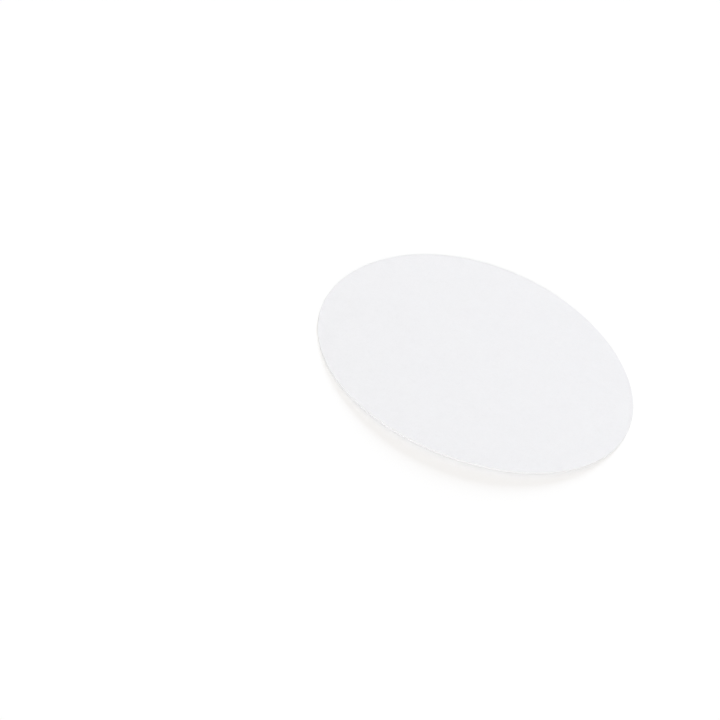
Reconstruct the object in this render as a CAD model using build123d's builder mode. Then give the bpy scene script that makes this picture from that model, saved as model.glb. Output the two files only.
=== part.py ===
import os
from math import asin, degrees

from build123d import *

# A round filter paper, die-cut from a sheet that keeps a slight curl from the roll it was made on.
# Millimetres. The origin is on the surface that the paper lies on, under the middle of the disc.
# Paper bends one way only, so the disc arches along X and is straight along Y.
# Its two ends along X lie flat on the surface, and the rest of its rim stands clear of it.

# Driving dimensions
disc_diameter = 70.0  # across the cut circle
paper_thickness = 0.2
curl_rise = 1.2  # from the surface up to the underside at the middle of the disc
rest_length = 1.0  # how far each low end lies flat, along X
heel_radius = 10.0  # soft bend between the flat end and the arch, on the underside
cut_edge_radius = 0.06  # upper edge of the cut, pressed round where the die goes in

# Sizes that follow from them
disc_radius = disc_diameter / 2
heel_x = disc_radius - rest_length
# The arch and the heel have one slope where they meet, so their centres are in line with that point
centre_distance = (heel_x**2 + curl_rise**2) / (2 * curl_rise)
arch_radius = centre_distance - heel_radius
heel_slope = degrees(asin(heel_x / centre_distance))

os.makedirs("parts", exist_ok=True)


with BuildPart() as paper_disc:
    # The curled sheet in section: the line of its underside, then its thickness
    with BuildSketch(Plane.XZ) as sheet_section:
        with BuildLine():
            rest = Line((disc_diameter, 0), (heel_x, 0))
            heel = JernArc(rest @ 1, rest % 1, heel_radius, -heel_slope)
            mirror(about=Plane.YZ)
            JernArc(heel @ 1, heel % 1, arch_radius, 2 * heel_slope)
            offset(amount=paper_thickness, side=Side.RIGHT)
        make_face()
    extrude(amount=disc_diameter, both=True)

    # The round die goes straight down through the sheet
    with BuildSketch():
        Circle(disc_radius)
    extrude(amount=disc_diameter, both=True, mode=Mode.INTERSECT)

    # It presses the upper edge of the cut round where it goes in, and leaves the lower edge sharp
    face_side = paper_disc.faces().filter_by(lambda face: face.normal_at().Z > 0.5)
    cut_edge = face_side.edges().filter_by(GeomType.LINE, reverse=True)
    fillet(cut_edge, cut_edge_radius)

paper_disc.part.label = "paper_disc"
export_step(paper_disc.part, "parts/paper_disc.step")
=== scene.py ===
import math

import bpy
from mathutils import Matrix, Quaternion, Vector, noise


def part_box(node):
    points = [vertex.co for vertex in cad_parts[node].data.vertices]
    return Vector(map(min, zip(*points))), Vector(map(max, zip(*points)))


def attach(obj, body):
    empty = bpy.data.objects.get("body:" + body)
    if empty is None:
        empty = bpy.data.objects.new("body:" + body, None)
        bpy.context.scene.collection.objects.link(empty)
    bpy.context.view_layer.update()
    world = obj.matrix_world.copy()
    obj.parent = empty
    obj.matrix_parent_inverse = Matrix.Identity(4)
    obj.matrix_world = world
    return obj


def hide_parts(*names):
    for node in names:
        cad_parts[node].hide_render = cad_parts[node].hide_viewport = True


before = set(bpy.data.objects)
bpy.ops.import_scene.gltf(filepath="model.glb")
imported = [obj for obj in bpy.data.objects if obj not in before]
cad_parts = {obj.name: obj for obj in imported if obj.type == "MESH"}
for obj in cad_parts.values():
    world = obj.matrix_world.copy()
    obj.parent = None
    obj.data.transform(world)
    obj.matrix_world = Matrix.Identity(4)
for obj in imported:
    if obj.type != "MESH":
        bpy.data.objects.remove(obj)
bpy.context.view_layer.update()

# A round filter paper lying on a white floor, gently arched between its two low ends.
# Everything is in metres, in the part's own frame: +X across the arch, +Y along its crown, +Z up.

MM = 0.001

# The paper's radius and full height come from the frame, and its other sizes are the part's own
node_low, node_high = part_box("paper_disc")
DISC_RADIUS = (node_high.x - node_low.x) / 2
PAPER_THICKNESS = 0.2 * MM
CURL_RISE = node_high.z - PAPER_THICKNESS
REST_LENGTH = 1.0 * MM
HEEL_RADIUS = 10.0 * MM
CUT_EDGE_RADIUS = 0.06 * MM

# The underside in section: a flat end, a heel tangent to it, and one wide arch tangent to both heels
HEEL_X = DISC_RADIUS - REST_LENGTH
CENTRE_DISTANCE = (HEEL_X**2 + CURL_RISE**2) / (2 * CURL_RISE)  # from the arch's centre to a heel's
ARCH_RADIUS = CENTRE_DISTANCE - HEEL_RADIUS
HEEL_SINE = HEEL_X / CENTRE_DISTANCE  # of the slope's angle where the arch meets a heel

# The mesh
GRID_STEPS = 196  # quads across each face
RIM_BAND = 0.5 * MM  # the outermost band of each face, made of rings
RIM_BAND_RINGS = (0.6, 0.3)  # how far those rings lie from the cut, as shares of the band
ROUND_STEPS = 4  # segments round the pressed upper edge
WALL_STEPS = 3  # segments down the cut
SHARP_ANGLE = math.radians(45.0)  # only the lower edge of the cut turns more than this
OCTAVE_STEP = 2.1  # how much finer each octave of the mesh's noise is than the one before

# Soft relief of the faces, which the die pressed flat near the cut
RELIEF_DEPTH = 0.010 * MM
RELIEF_SIZE = 1.3 * MM
RELIEF_FADE = 2.0 * MM
RELIEF_SMOOTHNESS = 0.8  # the larger it is, the faster the finer octaves fade
RELIEF_OCTAVES = 3
FACES_APART = 7.0  # in the noise, so that the two faces differ

# The cut wanders in from the true circle
CUT_ROUGHNESS = 0.010 * MM
CUT_WAVE = 0.8 * MM
CUT_SMOOTHNESS = 0.6
CUT_OCTAVES = 2

# The felt of the faces: clouds of thicker and thinner pulp, flocs of it, and fibres on top
NOISE_ROUGHNESS = 0.6  # the height of each finer octave, as a share of the one before
CLOUD_SIZE = 3.0 * MM
CLOUD_DETAIL = 3.0
FLOC_SIZE = 0.75 * MM
FLOC_DETAIL = 5.0
FIBRE_LAYERS = 6  # directions that the fibres lie in, spread over half a turn
FIBRE_PITCH = 0.5 * MM  # roughly from one fibre to the next in the widest layer
PITCH_CHANGE = 0.12  # each next layer is denser by this share of the widest layer's density
FIBRE_BEND = 6.0  # the length of a fibre's bends, in pitches
FIBRE_CURL = 0.5
FIBRE_DETAIL = 2.0
FIBRE_LEVEL = 0.5  # each fibre is a line along which its layer's noise has this height
FIBRE_WIDTH = 0.05  # and it ends where the noise has left that height by this much

# Their tone, from the deep places between the fibres to the fibres on top, made up in these parts
# The clouds and flocs are the pulp's own tone, which differs at random; the darker tone between the fibres is
# painted shade in those low places.
CLOUD_PART = 0.3
FLOC_PART = 0.3
FIBRE_PART = 0.4
PULP_DEEP_AND_SHADE = (0.840, 0.839, 0.858, 1.0)
PULP_TOP = (0.908, 0.907, 0.928, 1.0)

# Their fine relief, made up in these parts
FLOC_HEIGHT_PART = 0.5
FIBRE_HEIGHT_PART = 0.5
FELT_HEIGHT = 0.03 * MM
FELT_STRENGTH = 0.8

# The cut is painted darker than the faces, as painted shade, and shows the ends of the fibres as short
# streaks along the sheet
STREAK_LENGTH = 0.2 * MM
STREAK_DEPTH = 0.03 * MM
STREAK_DETAIL = 3.0
STREAK_LOW = 0.3  # the height of the noise where the streaks have their deep tone
STREAK_HIGH = 0.7  # and where they have their top tone
STREAK_RELIEF = 0.25  # the height of the streaks, where the height of the felt is 1
# Both tones are darker than the faces' pulp: painted shade on the cut.
CUT_SHADED_DEEP = (0.70, 0.70, 0.705, 1.0)
CUT_SHADED_TOP = (0.76, 0.76, 0.765, 1.0)

# The distances from the disc's axis between which the look of the faces gives way to that of the cut, with
# its painted shade
CUT_START = DISC_RADIUS - 1.5 * CUT_EDGE_RADIUS
CUT_STOP = DISC_RADIUS - 0.5 * CUT_EDGE_RADIUS

# Dry pulp is matt, and light spreads a little inside it before it comes out again
ROUGHNESS_LOW = 0.82
ROUGHNESS_HIGH = 0.95
SHINE = 0.2
SCATTER_LENGTH = 0.06 * MM

# The photograph's view, of the paper's crown
VIEW_AZIMUTH = math.radians(-10.2)
VIEW_ELEVATION = math.radians(35.94)
VIEW_ROLL = math.radians(19.5)
VIEW_DISTANCE = 0.4245
VIEW_AIM = Vector((-0.0248, -0.0105, 0.0))  # the floor point in the middle of the picture
VIEW_LENS = 100.0

# Light, as each lamp's share of what falls on the open floor. The room gives the rest.
# The front lamp is close to the camera and a little lower, so it reaches under the near rim and hides
# almost all of its own shadow. The back lamp is low, wide and slightly cool, so it casts a faint soft
# shadow forwards, a little warm.
FRONT_SHARE = 0.38
FRONT_AZIMUTH = math.radians(-6.0)  # measured as the view's azimuth is
FRONT_ELEVATION = math.radians(33.0)
FRONT_SPREAD = math.radians(8.0)
FRONT_TINT = (1.0, 1.0, 1.0)
BACK_SHARE = 0.125
BACK_AZIMUTH = math.radians(165.0)
BACK_ELEVATION = math.radians(14.0)
BACK_SPREAD = math.radians(20.0)
BACK_TINT = (0.88, 1.0, 1.14)
WHITE = (1.0, 1.0, 1.0, 1.0)

FLOOR_COLOUR = (0.97, 0.97, 0.97, 1.0)
FLOOR_LIFT = 0.04  # keeps the open floor pure white in the camera's own view
FLOOR_HALF_SIDE = 3.0


def layer_height(x, lift):
    """The height over x of the layer of the sheet that lies this far above its underside."""
    x = abs(x)
    if x >= HEEL_X:
        return lift
    if x >= (ARCH_RADIUS + lift) * HEEL_SINE:
        heel = HEEL_RADIUS - lift
        return HEEL_RADIUS - math.sqrt(heel**2 - (HEEL_X - x) ** 2)
    arch = ARCH_RADIUS + lift
    return CURL_RISE - ARCH_RADIUS + math.sqrt(arch**2 - x**2)


def clamp(value):
    """The value, kept from 0 to 1."""
    return min(1.0, max(0.0, value))


def noise_share(place, smoothness, octaves):
    """The mesh's noise at this place, from 0 to 1."""
    return clamp(0.5 + 0.5 * noise.fractal(place, smoothness, OCTAVE_STEP, octaves))


def relief(x, y, face):
    """How far a face, by its number, dips into the sheet at this place."""
    from_band = DISC_RADIUS - RIM_BAND - math.hypot(x, y)
    fade = clamp(from_band / RELIEF_FADE)
    place = Vector((x / RELIEF_SIZE, y / RELIEF_SIZE, FACES_APART * face))
    return fade * RELIEF_DEPTH * noise_share(place, RELIEF_SMOOTHNESS, RELIEF_OCTAVES)


def cut_wander(angle, lift):
    """How far the cut lies inside the true circle at this place."""
    place = Vector((DISC_RADIUS * math.cos(angle), DISC_RADIUS * math.sin(angle), lift)) / CUT_WAVE
    return CUT_ROUGHNESS * noise_share(place, CUT_SMOOTHNESS, CUT_OCTAVES)


def round_the_square(a, b):
    """Maps a point of the square from -1 to 1 onto the unit disc, ring for ring."""
    if a == 0 and b == 0:
        return 0.0, 0.0
    if abs(a) > abs(b):
        radius, angle = a, math.pi / 4 * b / a
    else:
        radius, angle = b, math.pi / 2 - math.pi / 4 * a / b
    return radius * math.cos(angle), radius * math.sin(angle)


def grid_outline(first):
    """The numbers of a grid's border vertices, once round it, from its first vertex's number."""
    side = GRID_STEPS + 1
    last = GRID_STEPS
    south = [first + i for i in range(last)]
    east = [first + last + side * j for j in range(last)]
    north = [first + side * last + last - i for i in range(last)]
    west = [first + side * (last - j) for j in range(last)]
    return south + east + north + west


def grid_quad(first, i, j, facing_up):
    """The numbers of one quad's vertices in a grid, from the grid's first vertex's number."""
    side = GRID_STEPS + 1
    corner = first + side * j + i
    around = (corner, corner + 1, corner + side + 1, corner + side)
    # Blender splits a quad from its first vertex to its third. That line points roughly to the grid's middle,
    # because a split across it would leave slivers in the quads on the grid's diagonals.
    half = GRID_STEPS // 2
    start = 0 if (i < half) == (j < half) else 1
    turn = 1 if facing_up else -1
    return [around[(start + turn * k) % 4] for k in range(4)]


def rim_rows():
    """The rim's rows from the upper face down the cut to the lower face, each as its inset and its lift."""
    rows = [(share * RIM_BAND, PAPER_THICKNESS) for share in RIM_BAND_RINGS]
    for step in range(ROUND_STEPS + 1):
        turn = math.pi / 2 * step / ROUND_STEPS
        inset = CUT_EDGE_RADIUS * (1 - math.sin(turn))
        rows.append((inset, PAPER_THICKNESS - CUT_EDGE_RADIUS * (1 - math.cos(turn))))
    wall_top = PAPER_THICKNESS - CUT_EDGE_RADIUS
    for step in range(1, WALL_STEPS + 1):
        rows.append((0.0, wall_top * (1 - step / WALL_STEPS)))
    rows += [(share * RIM_BAND, 0.0) for share in reversed(RIM_BAND_RINGS)]
    return rows


def add_face(points, quads, lift, facing_up):
    """Adds one felted face, as a grid of even quads made round, and gives its border."""
    first = len(points)
    side = GRID_STEPS + 1
    for j in range(side):
        for i in range(side):
            u, v = round_the_square(2 * i / GRID_STEPS - 1, 2 * j / GRID_STEPS - 1)
            x, y = (DISC_RADIUS - RIM_BAND) * u, (DISC_RADIUS - RIM_BAND) * v
            dip = -relief(x, y, 1) if facing_up else relief(x, y, 0)
            points.append((x, y, layer_height(x, lift) + dip))
    for j in range(GRID_STEPS):
        for i in range(GRID_STEPS):
            quads.append(grid_quad(first, i, j, facing_up))
    return grid_outline(first)


def add_rim_ring(points, angles, inset, lift):
    """Adds one ring of the cut rim, and gives its vertices."""
    first = len(points)
    for angle in angles:
        radius = DISC_RADIUS - inset - cut_wander(angle, lift)
        x, y = radius * math.cos(angle), radius * math.sin(angle)
        points.append((x, y, layer_height(x, lift)))
    return list(range(first, len(points)))


def paper_mesh():
    """The sheet as one closed mesh: two felted faces, joined by the rings of the cut rim."""
    points, quads = [], []
    upper = add_face(points, quads, PAPER_THICKNESS, True)
    lower = add_face(points, quads, 0.0, False)
    angles = [math.atan2(points[k][1], points[k][0]) for k in upper]
    rings = [add_rim_ring(points, angles, inset, lift) for inset, lift in rim_rows()]
    loops = [upper, *rings, lower]
    for above, below in zip(loops, loops[1:]):
        for k, here in enumerate(above):
            before = k - 1
            quads.append((above[before], below[before], below[k], here))
    mesh = bpy.data.meshes.new("filter_paper")
    mesh.from_pydata(points, [], quads)
    mesh.validate()
    mesh.shade_smooth()
    mesh.set_sharp_from_angle(angle=SHARP_ANGLE)
    return mesh


def feed(tree, socket, value):
    """Gives a socket its value, or links it to another node's output."""
    if isinstance(value, bpy.types.NodeSocket):
        tree.links.new(value, socket)
    else:
        socket.default_value = value


def add_node(tree, kind, **settings):
    """Adds a node. Its settings and sockets are given by name, with underscores for a socket's spaces."""
    node = tree.nodes.new(kind)
    for name, value in settings.items():
        if hasattr(node, name):
            setattr(node, name, value)
        else:
            feed(tree, node.inputs[name.replace("_", " ")], value)
    return node


def calculate(tree, operation, first, second):
    """What one calculation with two numbers gives."""
    node = add_node(tree, "ShaderNodeMath", operation=operation)
    feed(tree, node.inputs[0], first)
    feed(tree, node.inputs[1], second)
    return node.outputs["Value"]


def weighted_sum(tree, *parts):
    """The sum of several fields, each given with its weight."""
    total = calculate(tree, "MULTIPLY", *parts[0])
    for field, weight in parts[1:]:
        total = calculate(tree, "ADD", total, calculate(tree, "MULTIPLY", field, weight))
    return total


def smooth_range(tree, field, low, high, start=0.0, stop=1.0):
    """A smooth change from start to stop while the field goes from low to high."""
    node = add_node(tree, "ShaderNodeMapRange", interpolation_type="SMOOTHSTEP", Value=field)
    for name, number in zip(("From Min", "From Max", "To Min", "To Max"), (low, high, start, stop)):
        node.inputs[name].default_value = number
    return node.outputs["Result"]


def mix(tree, kind, factor, first, second):
    """A field or colour that goes from the first to the second with the factor."""
    return add_node(tree, "ShaderNodeMix", data_type=kind, Factor=factor, A=first, B=second).outputs["Result"]


def noise_field(tree, place, size, detail, turn=0.0, curl=0.0):
    """Noise from 0 to 1 whose features have this size along X, Y and Z, turned about Z."""
    mapping = add_node(tree, "ShaderNodeMapping", vector_type="TEXTURE", Vector=place, Scale=size)
    mapping.inputs["Rotation"].default_value = (0.0, 0.0, turn)
    texture = add_node(tree, "ShaderNodeTexNoise", Vector=mapping.outputs["Vector"], Scale=1.0, Detail=detail)
    texture.inputs["Roughness"].default_value = NOISE_ROUGHNESS
    texture.inputs["Distortion"].default_value = curl
    return texture.outputs["Fac"]


def fibre_layer(tree, place, layer):
    """Thin crooked fibres that lie in one direction, as level lines of a stretched noise."""
    pitch = FIBRE_PITCH / (1.0 + PITCH_CHANGE * layer)
    turn = math.pi * layer / FIBRE_LAYERS
    wave = noise_field(tree, place, (FIBRE_BEND * pitch, pitch, pitch), FIBRE_DETAIL, turn, FIBRE_CURL)
    ridge = calculate(tree, "PINGPONG", wave, FIBRE_LEVEL)
    return smooth_range(tree, ridge, FIBRE_LEVEL - FIBRE_WIDTH, FIBRE_LEVEL)


def all_fibres(tree, place):
    """The fibres of every layer, 1 on a fibre and 0 between them."""
    fibres = fibre_layer(tree, place, 0)
    for layer in range(1, FIBRE_LAYERS):
        fibres = calculate(tree, "MAXIMUM", fibres, fibre_layer(tree, place, layer))
    return fibres


def cut_mask(tree, place):
    """0 on the faces and 1 on the cut, where its painted shade and streaks go, from the distance to the
    disc's axis.
    """
    flat_place = add_node(tree, "ShaderNodeVectorMath", operation="MULTIPLY")
    feed(tree, flat_place.inputs[0], place)
    feed(tree, flat_place.inputs[1], (1.0, 1.0, 0.0))
    from_axis = add_node(tree, "ShaderNodeVectorMath", operation="LENGTH")
    feed(tree, from_axis.inputs[0], flat_place.outputs["Vector"])
    return smooth_range(tree, from_axis.outputs["Value"], CUT_START, CUT_STOP)


def paper_material():
    """White felted paper: clouds and flocs of pulp under fine fibres, whose ends show on the cut. Shade
    between the fibres and on the cut is painted into its colour.
    """
    material = bpy.data.materials.new("white_filter_paper")
    material.use_nodes = True
    tree = material.node_tree
    shader = tree.nodes["Principled BSDF"]
    place = tree.nodes.new("ShaderNodeTexCoord").outputs["Object"]

    clouds = noise_field(tree, place, (CLOUD_SIZE, CLOUD_SIZE, CLOUD_SIZE), CLOUD_DETAIL)
    flocs = noise_field(tree, place, (FLOC_SIZE, FLOC_SIZE, FLOC_SIZE), FLOC_DETAIL)
    fibres = all_fibres(tree, place)
    streaks = noise_field(tree, place, (STREAK_LENGTH, STREAK_LENGTH, STREAK_DEPTH), STREAK_DETAIL)
    at_cut = cut_mask(tree, place)

    # Low places between the fibres come out darker: painted shade. The clouds and flocs are the pulp's own
    # random tone.
    pulp_tone_and_shade = weighted_sum(tree, (clouds, CLOUD_PART), (flocs, FLOC_PART), (fibres, FIBRE_PART))
    face_colour_and_shade = mix(tree, "RGBA", pulp_tone_and_shade, PULP_DEEP_AND_SHADE, PULP_TOP)
    cut_tone = smooth_range(tree, streaks, STREAK_LOW, STREAK_HIGH)
    # The cut's darker colour is painted shade; its streaks are the fibres' ends.
    shaded_cut_colour = mix(tree, "RGBA", cut_tone, CUT_SHADED_DEEP, CUT_SHADED_TOP)
    feed(tree, shader.inputs["Base Color"], mix(tree, "RGBA", at_cut, face_colour_and_shade, shaded_cut_colour))
    roughness = smooth_range(tree, clouds, 0.0, 1.0, ROUGHNESS_LOW, ROUGHNESS_HIGH)
    feed(tree, shader.inputs["Roughness"], roughness)

    felt = weighted_sum(tree, (flocs, FLOC_HEIGHT_PART), (fibres, FIBRE_HEIGHT_PART))
    height = mix(tree, "FLOAT", at_cut, felt, calculate(tree, "MULTIPLY", streaks, STREAK_RELIEF))
    bump = add_node(tree, "ShaderNodeBump", Strength=FELT_STRENGTH, Distance=FELT_HEIGHT, Height=height)
    feed(tree, shader.inputs["Normal"], bump.outputs["Normal"])

    shader.inputs["Specular IOR Level"].default_value = SHINE
    shader.inputs["Subsurface Weight"].default_value = 1.0
    shader.inputs["Subsurface Radius"].default_value = (1.0, 1.0, 1.0)
    shader.inputs["Subsurface Scale"].default_value = SCATTER_LENGTH
    return material


def floor_material():
    """A white floor that takes the paper's shadow and is pure white where nothing shades it."""
    material = bpy.data.materials.new("studio_floor")
    material.use_nodes = True
    tree = material.node_tree
    tree.nodes.clear()
    white = add_node(tree, "ShaderNodeBsdfDiffuse", Color=FLOOR_COLOUR)
    seen = tree.nodes.new("ShaderNodeLightPath").outputs["Is Camera Ray"]
    glow = add_node(tree, "ShaderNodeEmission", Strength=calculate(tree, "MULTIPLY", seen, FLOOR_LIFT))
    both = tree.nodes.new("ShaderNodeAddShader")
    feed(tree, both.inputs[0], white.outputs["BSDF"])
    feed(tree, both.inputs[1], glow.outputs["Emission"])
    add_node(tree, "ShaderNodeOutputMaterial", Surface=both.outputs["Shader"])
    return material


def add_floor():
    """A flat floor through the part's resting plane."""
    far = FLOOR_HALF_SIDE
    corners = [(-far, -far, 0.0), (far, -far, 0.0), (far, far, 0.0), (-far, far, 0.0)]
    mesh = bpy.data.meshes.new("floor")
    mesh.from_pydata(corners, [], [(0, 1, 2, 3)])
    mesh.materials.append(floor_material())
    floor = bpy.data.objects.new("floor", mesh)
    bpy.context.scene.collection.objects.link(floor)


def add_room():
    """The light that the lamps leave over, from all sides. The camera and reflections see pure white."""
    world = bpy.data.worlds.new("room")
    bpy.context.scene.world = world
    world.use_nodes = True
    tree = world.node_tree
    tree.nodes.clear()
    left_over = [1.0 - FRONT_SHARE * front - BACK_SHARE * back for front, back in zip(FRONT_TINT, BACK_TINT)]
    room = add_node(tree, "ShaderNodeBackground", Color=(*left_over, 1.0))
    backdrop = add_node(tree, "ShaderNodeBackground", Color=WHITE)
    path = tree.nodes.new("ShaderNodeLightPath").outputs
    seen = calculate(tree, "MAXIMUM", path["Is Camera Ray"], path["Is Glossy Ray"])
    seen = calculate(tree, "MAXIMUM", seen, path["Is Transmission Ray"])
    choose = add_node(tree, "ShaderNodeMixShader", Fac=seen)
    feed(tree, choose.inputs[1], room.outputs["Background"])
    feed(tree, choose.inputs[2], backdrop.outputs["Background"])
    add_node(tree, "ShaderNodeOutputWorld", Surface=choose.outputs["Shader"])


def direction(azimuth, elevation):
    """The unit vector from the paper towards this azimuth and elevation, with azimuth 0 at -Y."""
    level = math.cos(elevation)
    return Vector((math.sin(azimuth) * level, -math.cos(azimuth) * level, math.sin(elevation)))


def add_lamp(name, share, azimuth, elevation, spread, tint):
    """A broad distant lamp that gives the floor this share of its light."""
    lamp = bpy.data.lights.new(name, "SUN")
    lamp.angle = spread
    lamp.energy = share * math.pi / math.sin(elevation)
    lamp.color = tint
    holder = bpy.data.objects.new(name, lamp)
    holder.rotation_mode = "QUATERNION"
    holder.rotation_quaternion = direction(azimuth, elevation).to_track_quat("Z", "Y")
    bpy.context.scene.collection.objects.link(holder)


def add_camera():
    """The photograph's camera: it looks down past the paper, turned about its own line of sight."""
    data = bpy.data.cameras.new("photo_camera")
    data.lens = VIEW_LENS
    camera = bpy.data.objects.new("photo_camera", data)
    crown = Vector((0.0, 0.0, node_high.z))
    camera.location = crown + VIEW_DISTANCE * direction(VIEW_AZIMUTH, VIEW_ELEVATION)
    level = (VIEW_AIM - camera.location).to_track_quat("-Z", "Y")
    camera.rotation_mode = "QUATERNION"
    camera.rotation_quaternion = level @ Quaternion((0.0, 0.0, 1.0), VIEW_ROLL)
    bpy.context.scene.collection.objects.link(camera)
    bpy.context.scene.camera = camera


def add_paper():
    """The dressed paper, which stands for the part's one node."""
    mesh = paper_mesh()
    mesh.materials.append(paper_material())
    paper = bpy.data.objects.new("filter_paper", mesh)
    bpy.context.scene.collection.objects.link(paper)
    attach(paper, "root")
    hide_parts("paper_disc")


bpy.context.scene.view_settings.view_transform = "Standard"
add_camera()
add_floor()
add_room()
add_lamp("front_lamp", FRONT_SHARE, FRONT_AZIMUTH, FRONT_ELEVATION, FRONT_SPREAD, FRONT_TINT)
add_lamp("back_lamp", BACK_SHARE, BACK_AZIMUTH, BACK_ELEVATION, BACK_SPREAD, BACK_TINT)
add_paper()
